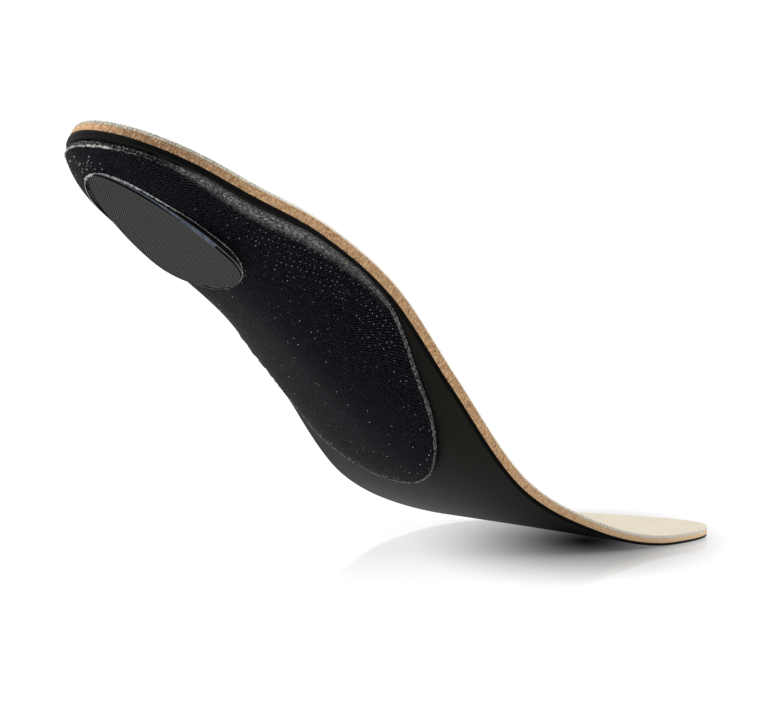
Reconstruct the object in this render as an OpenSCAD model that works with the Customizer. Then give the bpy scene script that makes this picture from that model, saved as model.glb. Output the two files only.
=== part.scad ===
/* [Outline] */
// Length of the sole from heel to toe
sole_len = 265; // [245:1:285]
// Width across the heel
heel_w = 63; // [58:1:68]
// Width at the waist, under the arch
waist_w = 63; // [58:1:70]
// Width across the ball of the foot
ball_w = 95; // [88:1:102]
// Width where the toes begin to round off
toe_w = 83; // [76:1:88]
// Sideways shift of the middle line at the waist, towards the little toe
waist_shift = 6.3; // [4:0.1:8]
// Sideways shift of the middle line at the ball
ball_shift = 3.3; // [1:0.1:5]
// Sideways shift of the middle line at the toes, towards the big toe
toe_shift = -3; // [-5:0.1:0]
// Sideways shift of the very tip
tip_shift = -15.7; // [-18:0.1:-12]
// Length of the round heel end
heel_round = 32.2; // [30:0.1:34]
// Length of the round toe end
toe_round = 57.3; // [52:0.1:62]

/* [Cup and arch] */
// Height of the cup's floor at the heel
floor_heel = 8.3; // [7.5:0.1:9]
// Height of the floor at the front of the heel
floor_waist = 7.5; // [7:0.1:8.5]
// Height of the floor under the arch
floor_arch = 6.8; // [6:0.1:8]
// Dip of the floor behind the ball
floor_ball = -1.8; // [-2.5:0.1:-1]
// Rise of the rim at the back of the heel
rise_back = 5.4; // [4:0.1:8]
// Rise of the inner rim beside the heel
rise_heel_inner = 11.1; // [9:0.1:13]
// Rise of the inner rim between heel and arch
rise_waist_inner = 19.3; // [16:0.1:21]
// Rise of the inner rim at the top of the arch
rise_arch_inner = 20.6; // [17:0.1:23]
// Rise of the inner rim in front of the arch
rise_fore_inner = 12.8; // [10:0.1:14]
// Rise of the inner rim behind the ball
rise_ball_inner = 2.7; // [2:0.1:4]
// Rise of the outer rim beside the heel
rise_heel_outer = 9.1; // [8:0.1:11]
// Rise of the outer rim between heel and arch
rise_waist_outer = 12.1; // [9:0.1:13]
// Rise of the outer rim opposite the arch
rise_arch_outer = 3.5; // [2.5:0.1:5]
// Rise of the outer rim in front of the arch
rise_fore_outer = 2.6; // [2:0.1:4]
// Rise of the outer rim behind the ball
rise_ball_outer = 2.2; // [1.5:0.1:3]
// How late the cup turns up towards its rim
cup_power = 3.1; // [2.6:0.1:3.6]
// How late the arch turns up towards its rim
arch_power = 2.3; // [2:0.1:2.8]

/* [Soft layers] */
// Thickness of the three soft layers together, heel to waist
stack_heel = 5.2; // [4.6:0.1:5.8]
// Thickness of the three soft layers together at the toe
stack_toe = 3.2; // [2.9:0.1:3.8]
// Share of the stack that is base foam, at the heel
base_share_heel = 0.33; // [0.3:0.01:0.36]
// Share of the stack that is base foam, at the toe
base_share_toe = 0.25; // [0.22:0.01:0.3]
// Share of the stack that is textile cover, at the heel
cover_share_heel = 0.21; // [0.18:0.01:0.24]
// Share of the stack that is textile cover, at the toe
cover_share_toe = 0.28; // [0.24:0.01:0.3]

/* [Shell] */
// Distance from the heel to the shell's front edge
shell_front = 162.5; // [155:0.5:165]
// Length of the shell's round front end
shell_round = 27.5; // [24:0.5:32]
// How far the shell's rim stays inside the sole's edge at the heel
shell_inset = 1; // [0.8:0.1:1.6]
// Thickness of the shell under the heel
shell_heel_t = 4; // [3.8:0.1:4.4]
// Thickness of the shell under the arch
shell_arch_t = 3; // [2.8:0.1:3.4]
// Thickness left at the shell's ground rim
shell_rim_t = 1.5; // [1.4:0.1:1.7]
// Thickness of the knitted skin under the shell
knit_t = 0.5; // [0.4:0.05:0.6]
// Thickness of the inner skin on top of the shell
inner_skin_t = 0.4; // [0.3:0.05:0.5]

/* [Heel post] */
// Rear end of the pad under the heel
pad_rear = 9.5; // [8:0.5:12]
// Front end of the pad under the heel
pad_front = 64.5; // [60:0.5:68]
// Where the pad is widest
pad_widest = 49; // [46:0.5:52]
// Width of the pad
pad_w = 43; // [39:0.5:45]
// Thickness of the ribbed sheet on the pad
pad_t = 0.8; // [0.6:0.1:1]
// Thickness of the glue film above the sheet
glue_t = 0.3; // [0.2:0.1:0.4]
// Height of the pad's lower face at the heel, level with the sole of the toes
pad_level = 5.4; // [5.2:0.1:5.6]

/* [Flex line] */
// Distance from the heel to the flex line behind the toes
flex_x = 197.5; // [190:0.5:205]
// Skew of the flex line, outer end nearer the heel
flex_skew = 6.4; // [2:0.1:12]
// Length of the zone that bends
flex_zone = 68; // [60:1:76]
// How far the heel is lifted at rest
rest_bend = 36; // [20:1:45]

/* [Hidden] */

bond_gap = 0.3;        // glue line between curved pieces
hinge_gap = 0.35;      // running clearance at the flex line
across = 6;            // steps from the middle line to an edge
heel_steps = 6;        // stations round the heel end
rear_steps = 24;       // stations from the heel to the flex line
fore_steps = 6;        // stations from the flex line to the toe end
toe_steps = 6;         // stations round the toe end
shell_steps = 15;      // stations along the shell's straight part
ring_steps = 36;       // points round the heel post
post_rings = 8;        // rings across the top of the heel post
seat_deep = 0.35;      // the post stays this far below its seat
post_gap = 0.02;       // and this far above the glue film
post_least = 0.1;      // its least thickness
post_inset = 0.3;      // its lower edge stays this far inside the pad's
seat_gap = 0.7;        // and its upper edge this far inside the seat
glue_inset = 0.6;      // and the glue film's edge this far
tip_turn = 10;         // degrees left open at each pointed_end end

// stations along the sole, as shares of its length
outline_at = [0, 0.17, 0.42, 0.70, 0.86, 1];
heel_tuck = 2;         // the very back is this much narrower on each side
tip_tuck = 12;         // and the tip this much
half_w = [heel_w / 2 - heel_tuck, heel_w / 2, waist_w / 2, ball_w / 2, toe_w / 2, toe_w / 2 - tip_tuck];
middle = [0, 0, waist_shift, ball_shift, toe_shift, tip_shift];
rim_at = [0, 0.15, 0.28, 0.40, 0.52, 0.64, 0.76, 0.88, 1];
rise_inner = [rise_back, rise_heel_inner, rise_waist_inner, rise_arch_inner,
    rise_fore_inner, rise_ball_inner, 0, 0, 0];
rise_outer = [rise_back, rise_heel_outer, rise_waist_outer, rise_arch_outer,
    rise_fore_outer, rise_ball_outer, 0, 0, 0];
floor_at = [0, 0.14, 0.26, 0.40, 0.64, 0.76, 0.88, 1];
floor_z = [floor_heel, floor_heel, floor_waist, floor_arch, floor_ball, 0, 0, 0];
power_at = [0, 0.2, 0.4, 1];
power_of = [cup_power, cup_power, arch_power, arch_power];
stack_at = [0, 0.55, 0.9, 1];
stack_fall = 0.2;      // the stack has lost this much behind the ball
stack_t = [stack_heel, stack_heel - stack_fall, stack_toe, stack_toe];
shell_t_at = [0, 0.14, 0.26, 0.40, 1];
shell_t = [shell_heel_t, shell_heel_t, shell_arch_t, shell_arch_t, shell_arch_t];
toe_power = 2.3;       // a little squarer than an ellipse
shell_power = 6;       // the shell keeps its thickness almost to the rim

// a smooth curve through the stations
function slope(xs, ys, i) =
    i == 0 ? (ys[1] - ys[0]) / (xs[1] - xs[0]) :
    i == len(xs) - 1 ? (ys[i] - ys[i - 1]) / (xs[i] - xs[i - 1]) :
    let (a = xs[i] - xs[i - 1], b = xs[i + 1] - xs[i])
        (a * a * ys[i + 1] + (b * b - a * a) * ys[i] - b * b * ys[i - 1]) / (a * b * (a + b));
function span(xs, x, i = 0) = i >= len(xs) - 2 || x < xs[i + 1] ? i : span(xs, x, i + 1);
function curve(xs, ys, x) =
    let (i = span(xs, x), h = xs[i + 1] - xs[i], t = min(1, max(0, (x - xs[i]) / h)))
        (2 * t ^ 3 - 3 * t ^ 2 + 1) * ys[i] + (t ^ 3 - 2 * t ^ 2 + t) * h * slope(xs, ys, i)
        + (3 * t ^ 2 - 2 * t ^ 3) * ys[i + 1] + (t ^ 3 - t ^ 2) * h * slope(xs, ys, i + 1);
function ease(t) = t * t * (3 - 2 * t);
function blend(a, b, t) = a + (b - a) * t;

// plan of the sole: its middle line, its half width and its round ends
function mid_y(x) = curve(outline_at, middle, x / sole_len);
function wide(x) = curve(outline_at, half_w, x / sole_len);
function past_heel(x) = max(0, (heel_round - x) / heel_round);
function past_toe(x) = min(1, max(0, (x - sole_len + toe_round) / toe_round));
function ends(x) = sqrt(max(0, 1 - past_heel(x) ^ 2)) * sqrt(1 - past_toe(x) ^ toe_power);
function sole_y(x, v) = mid_y(x) + v * wide(x) * ends(x);

// height of the base foam's lower face over the flat sole, at any place
function side(x, y) = (y - mid_y(x)) / wide(x);
function bowl(x, y) = min(1, sqrt(past_heel(x) ^ 2 + side(x, y) ^ 2));
function rise(x, y) =
    let (u = x / sole_len, inner = curve(rim_at, rise_inner, u), outer = curve(rim_at, rise_outer, u),
        s = min(1, max(-1, side(x, y))))
        x < heel_round ? blend(inner, outer, ease((s + 1) / 2)) : s < 0 ? inner : outer;
function under_z(x, y) =
    curve(floor_at, floor_z, x / sole_len)
    + rise(x, y) * bowl(x, y) ^ curve(power_at, power_of, x / sole_len);
function stack(x) = curve(stack_at, stack_t, x / sole_len);
function base_top(x) = stack(x) * blend(base_share_heel, base_share_toe, x / sole_len);
function cover_low(x) = stack(x) * (1 - blend(cover_share_heel, cover_share_toe, x / sole_len));

// plan of the shell, which leaves the inner edge at the arch and ends in a round front
shell_at = [0, 0.3, 0.66, 0.83, 1];
shell_margin = [2.5, 1, 2.4, 1.8, 1.8];
shell_wide = [for (i = [0:len(shell_at) - 1]) (i < 2 ? heel_w : waist_w) / 2 - shell_margin[i]];
shell_mid = [0, 0.2, 4.2, 5.5, 5.5];
function shell_ends(x) =
    let (h = max(0, (heel_round - x) / (heel_round - shell_inset)),
        f = min(1, max(0, (x - shell_front + shell_round) / shell_round)))
        sqrt(max(0, 1 - h ^ 2)) * sqrt(1 - f ^ 2);
function shell_y(x, w) =
    curve(shell_at, shell_mid, x / shell_front) + w * curve(shell_at, shell_wide, x / shell_front) * shell_ends(x);
function shell_rho(x, w) =
    let (h = max(0, (heel_round - x) / (heel_round - shell_inset)),
        f = min(1, max(0, (x - shell_front + shell_round) / shell_round)))
        min(1, sqrt(max(h, f) ^ 2 + (w * shell_ends(x)) ^ 2));
function shell_thick(x, w) =
    let (t = curve(shell_t_at, shell_t, x / sole_len))
        shell_rim_t + (t - shell_rim_t) * (1 - shell_rho(x, w) ^ shell_power);
function shell_top(x, w) = under_z(x, shell_y(x, w)) - bond_gap;
function shell_bottom(x, w) = shell_top(x, w) - shell_thick(x, w);

// the sole is rolled over a round of this radius, so that the heel lifts and the toes stay flat
axis_dir = [-sin(flex_skew), cos(flex_skew), 0];
along_dir = [cos(flex_skew), sin(flex_skew), 0];
roll_r = flex_zone / (rest_bend * PI / 180);
function bent(p) =
    let (s = (p[0] - flex_x) * along_dir[0] + p[1] * along_dir[1],
        t = (p[0] - flex_x) * axis_dir[0] + p[1] * axis_dir[1],
        d = min(flex_zone, max(0, flex_zone / 2 - s)), a = rest_bend * d / flex_zone,
        back = max(0, -flex_zone / 2 - s), fore = max(0, s - flex_zone / 2),
        run = flex_zone / 2 - roll_r * sin(a) - back * cos(a) + fore + p[2] * sin(a),
        up = roll_r * (1 - cos(a)) + back * sin(a) + p[2] * cos(a))
        run * along_dir + t * axis_dir + [0, 0, up];

// the origin is on the flat sole, under the middle of the toes
rest_back = 22;        // from the tip back to the middle of the toes
toe_rest = bent([sole_len - rest_back, mid_y(sole_len - rest_back), 0]);
function rolled(p) = bent(p) - toe_rest;

// the hinge line lies half way through the stack, in the middle of the rolled zone
flex_half_t = stack(flex_x) / 2;
flex_axis = rolled([flex_x, 0, under_z(flex_x, 0) + flex_half_t]);
nose_skin = 0.05;      // the nose stays this far inside the layers
nose_ends = 1.5;       // and this far inside the sole's two edges
nose_back = 0.02;      // its flat side stays clear of the front half's layers
nose_r = flex_half_t - nose_skin;
rear_stop = nose_r + hinge_gap;

// stations of the two halves; they turn square to the flex line as they reach it
function edge_turn(k) = sin(90 * k / across);
cols = [for (k = [-across:across]) edge_turn(k)];
heel_xs = [for (i = [0:heel_steps - 1])
    heel_round * (1 - cos(tip_turn + (90 - tip_turn) * i / heel_steps))];
rear_xs = [for (i = [0:rear_steps]) blend(heel_round, flex_x - rear_stop / cos(flex_skew), i / rear_steps)];
toe_start = sole_len - toe_round;
fore_xs = [for (i = [0:fore_steps - 1]) blend(flex_x, toe_start + rest_back, i / fore_steps)];
toe_xs = [for (i = [0:toe_steps]) sole_len - (toe_round - rest_back) * (1 - sin((90 - tip_turn) * i / toe_steps))];
function skewed(x, v) =
    let (w = ease(max(0, 1 - abs(x - flex_x) / (sole_len - flex_x))),
        y0 = sole_y(x, v), x1 = x - y0 * tan(flex_skew) * w,
        y1 = sole_y(x1, v), x2 = x - y1 * tan(flex_skew) * w)
        [x2, sole_y(x2, v)];
function lift(xs, share) = [for (x = xs) [for (v = cols)
    let (q = skewed(x, v), t = share == 0 ? 0 : share == 1 ? base_top(q[0])
        : share == 2 ? cover_low(q[0]) : stack(q[0]))
        rolled([q[0], q[1], under_z(q[0], q[1]) + t])]];

// stations of the shell
shell_xs = concat(
    [for (i = [0:heel_steps - 1]) heel_round - (heel_round - shell_inset) * cos(tip_turn + (90 - tip_turn) * i / heel_steps)],
    [for (i = [0:shell_steps]) blend(heel_round, shell_front - shell_round, i / shell_steps)],
    [for (i = [1:heel_steps]) shell_front - shell_round * (1 - sin((90 - tip_turn) * i / heel_steps))]);
knit_share = 0.955;    // the knit stops short of the ground rim
knit_cols = knit_share * cols;
shell_cols = concat([-1], knit_cols, [1]);
function shell_level(x, w, down) =
    down == 0 ? shell_top(x, w) : down == 1 ? shell_top(x, w) - inner_skin_t
    : down == 2 ? shell_bottom(x, w) + knit_t : shell_bottom(x, w);
function shell_sheet(down, ws) =
    [for (x = shell_xs) [for (w = ws) rolled([x, shell_y(x, w), shell_level(x, w, down)])]];

// a closed solid between two sheets of the same grid
module between(top, low) {
    rows = len(top);
    n = len(top[0]);
    last = rows * n;
    function at(i, j, sheet) = sheet * last + i * n + j;
    function two(a, b, c, d) = [[a, b, c], [a, c, d]];
    faces = [
        for (i = [0:rows - 2]) for (j = [0:n - 2])
            each two(at(i, j, 0), at(i, j + 1, 0), at(i + 1, j + 1, 0), at(i + 1, j, 0)),
        for (i = [0:rows - 2]) for (j = [0:n - 2])
            for (f = two(at(i, j, 1), at(i, j + 1, 1), at(i + 1, j + 1, 1), at(i + 1, j, 1)))
                [f[2], f[1], f[0]],
        for (i = [0:rows - 2])
            each two(at(i, 0, 1), at(i, 0, 0), at(i + 1, 0, 0), at(i + 1, 0, 1)),
        for (i = [0:rows - 2])
            each two(at(i + 1, n - 1, 1), at(i + 1, n - 1, 0), at(i, n - 1, 0), at(i, n - 1, 1)),
        for (j = [0:n - 2])
            each two(at(0, j + 1, 1), at(0, j + 1, 0), at(0, j, 0), at(0, j, 1)),
        for (j = [0:n - 2])
            each two(at(rows - 1, j, 1), at(rows - 1, j, 0), at(rows - 1, j + 1, 0), at(rows - 1, j + 1, 1))
    ];
    polyhedron(points = [for (sheet = [top, low]) for (row = sheet) for (p = row) p], faces = faces);
}

// the rear of the sole is stiff: it turns as one piece about the flex line
rear_turn = rolled([flex_x - flex_zone, 0, 0]);
module lifted() {
    translate(rear_turn) rotate(a = rest_bend, v = axis_dir) translate([flex_zone - flex_x, 0, 0]) children();
}

// plan of the heel pad and of its seat in the knit
pad_mid = -2.9;
pad_tilt = atan(pad_level / flex_x);
seat_mid = [38, -1.2];
seat_rear = 27.8;      // from the middle of the seat to its rear end
seat_front = 29;       // and to its front end
seat_half_w = 21;
pointed_end = 1.7;     // powers of the ovals' ends
round_end = 2;
blunt_end = 2.5;
function oval(a, rx, ry, n) =
    let (k = 1 / (abs(cos(a) / rx) ^ n + abs(sin(a) / ry) ^ n) ^ (1 / n)) [k * cos(a), k * sin(a)];
function pad_point(a, grow = 0) =
    [pad_widest, pad_mid]
    + (cos(a) < 0 ? oval(a, pad_widest - pad_rear + grow, pad_w / 2 + grow, pointed_end)
        : oval(a, pad_front - pad_widest + grow, pad_w / 2 + grow, blunt_end));
function seat_point(a, grow = 0) =
    seat_mid
    + (cos(a) < 0 ? oval(a, seat_rear + grow, seat_half_w + grow, round_end)
        : oval(a, seat_front + grow, seat_half_w + grow, blunt_end));
function pad_z(x) = pad_level * (1 - x / flex_x);
function shell_w(x, y) =
    (y - curve(shell_at, shell_mid, x / shell_front)) / (curve(shell_at, shell_wide, x / shell_front) * shell_ends(x));
seat_up = 1.9;         // the core is ground this far above the pad's lower face
knit_up = 8;           // the knit is cut right through
cut_deep = 12;         // more than the shell reaches below the seat
function seat_z(x, y) = max(pad_z(x) + seat_up, shell_bottom(x, shell_w(x, y)) + knit_t) - seat_deep;

// the frame of the flat pad, at a given height over its lower face
module on_pad(level) {
    lifted() translate([0, 0, pad_level]) rotate([0, pad_tilt, 0]) translate([0, 0, level]) children();
}

// a slice of the pad's plan
module pad_slice(low, high, grow = 0) {
    on_pad(low) linear_extrude(high - low)
        polygon([for (i = [0:2 * ring_steps - 1]) pad_point(180 * i / ring_steps, grow)]);
}

module seat_cut(up) {
    on_pad(up - cut_deep) linear_extrude(cut_deep)
        polygon([for (i = [0:ring_steps - 1]) seat_point(360 * i / ring_steps)]);
}

cover_colour = [0.86, 0.82, 0.72];
tan_colour = [0.76, 0.56, 0.38];
foam_colour = [0.13, 0.13, 0.12];

module top_cover_rear() {
    xs = concat(heel_xs, rear_xs);
    color(cover_colour) between(lift(xs, 3), lift(xs, 2));
}

module top_cover_front() {
    xs = concat(fore_xs, toe_xs);
    color(cover_colour) between(lift(xs, 3), lift(xs, 2));
}

module cushion_rear() {
    xs = concat(heel_xs, rear_xs);
    color(tan_colour) between(lift(xs, 2), lift(xs, 1));
}

module cushion_front() {
    xs = concat(fore_xs, toe_xs);
    color(tan_colour) between(lift(xs, 2), lift(xs, 1));
}

module base_foam_rear() {
    xs = concat(heel_xs, rear_xs);
    color(foam_colour) between(lift(xs, 1), lift(xs, 0));
}

// the front half carries the round nose that the rear half turns about
module flex_nose() {
    nose_len = 2 * (wide(flex_x) - nose_ends);
    translate(flex_axis) rotate([0, 0, flex_skew]) rotate([90, 0, 0])
        translate([0, 0, -mid_y(flex_x) / cos(flex_skew)])
            intersection() {
                cylinder(r = nose_r, h = nose_len, center = true, $fn = 48);
                rotate([0, 0, -rest_bend / 2]) translate([-2 * nose_r, -2 * nose_r, -nose_len])
                    cube([2 * nose_r - nose_back, 4 * nose_r, 2 * nose_len]);
            }
}

module base_foam_front() {
    xs = concat(fore_xs, toe_xs);
    color(foam_colour) {
        between(lift(xs, 1), lift(xs, 0));
        flex_nose();
    }
}

module shell_inner_skin() {
    color([0.16, 0.16, 0.19]) between(shell_sheet(0, shell_cols), shell_sheet(1, shell_cols));
}

module shell_core() {
    color([0.36, 0.36, 0.34]) difference() {
        between(shell_sheet(1, shell_cols), shell_sheet(2, shell_cols));
        seat_cut(seat_up);
    }
}

module shell_knit_skin() {
    color([0.11, 0.11, 0.15]) difference() {
        between(shell_sheet(2, knit_cols), shell_sheet(3, knit_cols));
        seat_cut(knit_up);
    }
}

// fills the space between the seat and the flat pad
module heel_post() {
    low_face = pad_t + glue_t + post_gap;
    turns = [for (i = [0:ring_steps - 1]) 360 * i / ring_steps];
    function low_at(a) =
        let (p = pad_point(a, -post_inset)) [p[0], p[1], pad_z(p[0]) + low_face];
    function top_at(a, k) =
        let (p = seat_point(a, -seat_gap), x = blend(seat_mid[0], p[0], k), y = blend(seat_mid[1], p[1], k))
            [x, y, max(pad_z(x) + low_face + post_least, seat_z(x, y))];
    rings = [for (r = [1:post_rings]) r / post_rings];
    points = [
        rolled([seat_mid[0], seat_mid[1], seat_z(seat_mid[0], seat_mid[1])]),
        for (k = rings) for (a = turns) rolled(top_at(a, k)),
        for (a = turns) rolled(low_at(a))
    ];
    n = ring_steps;
    function at(r, i) = 1 + r * n + (i % n);
    faces = [
        for (i = [0:n - 1]) [0, at(0, i + 1), at(0, i)],
        for (r = [0:post_rings - 1]) for (i = [0:n - 1])
            each [[at(r, i), at(r, i + 1), at(r + 1, i + 1)], [at(r, i), at(r + 1, i + 1), at(r + 1, i)]],
        [for (i = [0:n - 1]) at(post_rings, i)]
    ];
    color([0.1, 0.1, 0.11]) polyhedron(points = points, faces = faces);
}

module heel_pad_glue() {
    color([0.25, 0.28, 0.34]) pad_slice(pad_t, pad_t + glue_t, -glue_inset);
}

module heel_pad_sheet() {
    color([0.25, 0.25, 0.23]) pad_slice(0, pad_t);
}

top_cover_rear();
top_cover_front();
cushion_rear();
cushion_front();
base_foam_rear();
base_foam_front();
shell_inner_skin();
shell_core();
shell_knit_skin();
heel_post();
heel_pad_glue();
heel_pad_sheet();
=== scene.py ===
import math

import bpy
import numpy as np
from mathutils import Matrix, Vector


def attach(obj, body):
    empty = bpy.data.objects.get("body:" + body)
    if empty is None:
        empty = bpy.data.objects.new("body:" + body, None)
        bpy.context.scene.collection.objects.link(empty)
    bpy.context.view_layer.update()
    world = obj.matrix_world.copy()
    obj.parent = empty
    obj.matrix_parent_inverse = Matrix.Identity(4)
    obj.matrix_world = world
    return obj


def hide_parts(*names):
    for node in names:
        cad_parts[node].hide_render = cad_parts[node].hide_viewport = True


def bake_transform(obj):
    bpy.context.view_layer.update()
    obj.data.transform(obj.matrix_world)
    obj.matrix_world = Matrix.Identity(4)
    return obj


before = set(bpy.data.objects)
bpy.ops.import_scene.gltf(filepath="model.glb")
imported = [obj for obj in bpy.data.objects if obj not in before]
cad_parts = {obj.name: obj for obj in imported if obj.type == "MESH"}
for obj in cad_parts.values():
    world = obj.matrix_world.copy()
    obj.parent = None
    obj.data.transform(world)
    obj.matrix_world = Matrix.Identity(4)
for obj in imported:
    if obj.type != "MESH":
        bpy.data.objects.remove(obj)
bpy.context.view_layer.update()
bpy.ops.object.select_all(action="DESELECT")
print("frame loaded:", len(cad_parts), "nodes")

# plan and levels, in millimetres
sole = {
    "length": 265,
    "heelW": 63,
    "waistW": 63,
    "ballW": 95,
    "toeW": 83,
    "heelTuck": 2,  # the very back is narrower by this on each side
    "tipTuck": 12,
    "middle": [0, 0, 6.3, 3.3, -3, -15.7],
    "middleAt": [0, 0.17, 0.42, 0.70, 0.86, 1],
    "heelRound": 32.2,
    "toeRound": 57.3,
    "toePower": 2.3,
    "floor": [8.3, 8.3, 7.5, 6.8, -1.8, 0, 0, 0],
    "floorAt": [0, 0.14, 0.26, 0.40, 0.64, 0.76, 0.88, 1],
    "innerRise": [5.4, 11.1, 19.3, 20.6, 12.8, 2.7, 0, 0, 0],
    "outerRise": [5.4, 9.1, 12.1, 3.5, 2.6, 2.2, 0, 0, 0],
    "rimAt": [0, 0.15, 0.28, 0.40, 0.52, 0.64, 0.76, 0.88, 1],
    "power": [3.1, 3.1, 2.3, 2.3],
    "powerAt": [0, 0.2, 0.4, 1],
    "stack": [5.2, 5.0, 3.2, 3.2],
    "stackAt": [0, 0.55, 0.9, 1],
    "baseShare": [0.33, 0.25],
    "coverShare": [0.22, 0.19, 0.13, 0.14, 0.35, 0.42],
    "coverAt": [0, 0.12, 0.3, 0.65, 0.85, 1],
}
flex = {
    "x": 197.5,
    "skew": 6.4,  # degrees
    "zone": 68,  # length that bends
    "lift": 36,  # degrees that the heel is lifted
    "restBack": 22,  # from the tip back to the middle of the toes
}
shell = {
    "start": 1.5,
    "front": 162.5,
    "round": 27.5,
    "wide": [29.6, 31.0, 29.3, 29.7, 29.7],
    "middle": [0, 0.2, 4.2, 5.5, 5.5],
    "at": [0, 0.3, 0.66, 0.83, 1],
    "thick": [4, 4, 3, 3, 3],
    "thickAt": [0, 0.14, 0.26, 0.40, 1],
    "rimT": 1.5,
    "power": 6,
    "knitT": 0.5,
    "skinT": 0.4,
    "gap": 0.3,
}


def curve(at, values, x):
    at = np.asarray(at, float)
    values = np.asarray(values, float)
    slopes = np.gradient(values, at)
    i = np.clip(np.searchsorted(at, x, side="right") - 1, 0, len(at) - 2)
    h = at[i + 1] - at[i]
    t = np.clip((x - at[i]) / h, 0, 1)
    return (
        (2 * t**3 - 3 * t**2 + 1) * values[i]
        + (t**3 - 2 * t**2 + t) * h * slopes[i]
        + (3 * t**2 - 2 * t**3) * values[i + 1]
        + (t**3 - t**2) * h * slopes[i + 1]
    )


def ease(t):
    t = np.clip(t, 0, 1)
    return t * t * (3 - 2 * t)


def midY(x):
    return curve(sole["middleAt"], sole["middle"], x / sole["length"])


def halfWide(x):
    tuck, tip = sole["heelTuck"], sole["tipTuck"]
    halves = [sole["heelW"] / 2 - tuck, sole["heelW"] / 2, sole["waistW"] / 2]
    halves += [sole["ballW"] / 2, sole["toeW"] / 2, sole["toeW"] / 2 - tip]
    return curve(sole["middleAt"], halves, x / sole["length"])


def pastHeel(x):
    return np.maximum(0, (sole["heelRound"] - x) / sole["heelRound"])


def sideOf(x, y):
    return (y - midY(x)) / halfWide(x)


def underZ(x, y):
    u = x / sole["length"]
    inner = curve(sole["rimAt"], sole["innerRise"], u)
    outer = curve(sole["rimAt"], sole["outerRise"], u)
    s = np.clip(sideOf(x, y), -1, 1)
    rise = np.where(s < 0, inner, outer)
    rise = np.where(x < sole["heelRound"], inner + (outer - inner) * ease((s + 1) / 2), rise)
    bowl = np.minimum(1, np.hypot(pastHeel(x), s))
    power = curve(sole["powerAt"], sole["power"], u)
    return curve(sole["floorAt"], sole["floor"], u) + rise * bowl**power


def stackAt(x):
    return curve(sole["stackAt"], sole["stack"], x / sole["length"])


def coverTop(x, y):
    return underZ(x, y) + stackAt(x)


def cushionTop(x, y):
    return underZ(x, y) + stackAt(x) * (1 - curve(sole["coverAt"], sole["coverShare"], x / sole["length"]))


def foamTop(x, y):
    rear, front = sole["baseShare"]
    return underZ(x, y) + stackAt(x) * (rear + (front - rear) * x / sole["length"])


skew = math.radians(flex["skew"])
bend = math.radians(flex["lift"])
alongDir = np.array([math.cos(skew), math.sin(skew), 0])
axisDir = np.array([-math.sin(skew), math.cos(skew), 0])
rollR = flex["zone"] / bend


def bent(x, y, z):
    # the sole is rolled over a round, so the heel lifts and the toes stay flat
    half = flex["zone"] / 2
    s = (x - flex["x"]) * alongDir[0] + y * alongDir[1]
    t = (x - flex["x"]) * axisDir[0] + y * axisDir[1]
    a = np.clip(half - s, 0, flex["zone"]) / rollR
    back = np.maximum(0, -half - s)
    fore = np.maximum(0, s - half)
    run = half - rollR * np.sin(a) - back * np.cos(a) + fore + z * np.sin(a)
    up = rollR * (1 - np.cos(a)) + back * np.sin(a) + z * np.cos(a)
    return run[:, None] * alongDir + t[:, None] * axisDir + up[:, None] * np.array([0, 0, 1])


restX = np.array([sole["length"] - flex["restBack"]])
toeRest = bent(restX, midY(restX), np.zeros(1))[0]


def rolled(x, y, z):
    x, y, z = np.broadcast_arrays(np.asarray(x, float), np.asarray(y, float), np.asarray(z, float))
    return (bent(x.ravel(), y.ravel(), z.ravel()) - toeRest) / 1000


def shellMid(x):
    return curve(shell["at"], shell["middle"], x / shell["front"])


def shellWide(x):
    return curve(shell["at"], shell["wide"], x / shell["front"])


def shellRho(x, y):
    h = np.maximum(0, (sole["heelRound"] - x) / (sole["heelRound"] - shell["start"]))
    f = np.clip((x - shell["front"] + shell["round"]) / shell["round"], 0, 1)
    return np.minimum(1, np.hypot(np.maximum(h, f), (y - shellMid(x)) / shellWide(x)))


def shellTop(x, y):
    return underZ(x, y) - shell["gap"]


def shellBottom(x, y):
    t = curve(shell["thickAt"], shell["thick"], x / sole["length"])
    return shellTop(x, y) - shell["rimT"] - (t - shell["rimT"]) * (1 - shellRho(x, y) ** shell["power"])


# outlines
def evenly(x, y, count):
    # the closed outline again, with its points evenly spaced
    run = np.concatenate([[0], np.cumsum(np.hypot(np.diff(x, append=x[0]), np.diff(y, append=y[0])))])
    at = np.linspace(0, run[-1], count, endpoint=False)
    return np.interp(at, run, np.append(x, x[0])), np.interp(at, run, np.append(y, y[0]))


def outward(x, y):
    dx = np.roll(x, -1) - np.roll(x, 1)
    dy = np.roll(y, -1) - np.roll(y, 1)
    n = np.hypot(dx, dy)
    return dy / n, -dx / n


def twoSides(heelX, foreX, turn, middle, half, count):
    # inner side from heel to front, then the outer side back, each with its points evenly spaced
    straight = np.linspace(heelX[-1], foreX[0], 600)[1:-1]
    x = np.concatenate([heelX, straight, foreX])
    reach = half(x) * np.concatenate([np.sin(turn), np.ones(len(straight)), np.cos(turn)])
    sides = []
    for side in (-1, 1):
        y = middle(x) + side * reach
        run = np.concatenate([[0], np.cumsum(np.hypot(np.diff(x), np.diff(y)))])
        at = np.linspace(0, run[-1], count // 2 + 1)
        sides.append((np.interp(at, run, x), np.interp(at, run, y)))
    (innerX, innerY), (outerX, outerY) = sides
    return np.concatenate([innerX, outerX[-2:0:-1]]), np.concatenate([innerY, outerY[-2:0:-1]])


def spineOf(x, low, high, middle):
    # the middle line that an outline shrinks to, the same for both sides
    pair = (-np.arange(len(x))) % len(x)
    at = np.clip((x + x[pair]) / 2, low, high)
    return at, middle(at)


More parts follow.
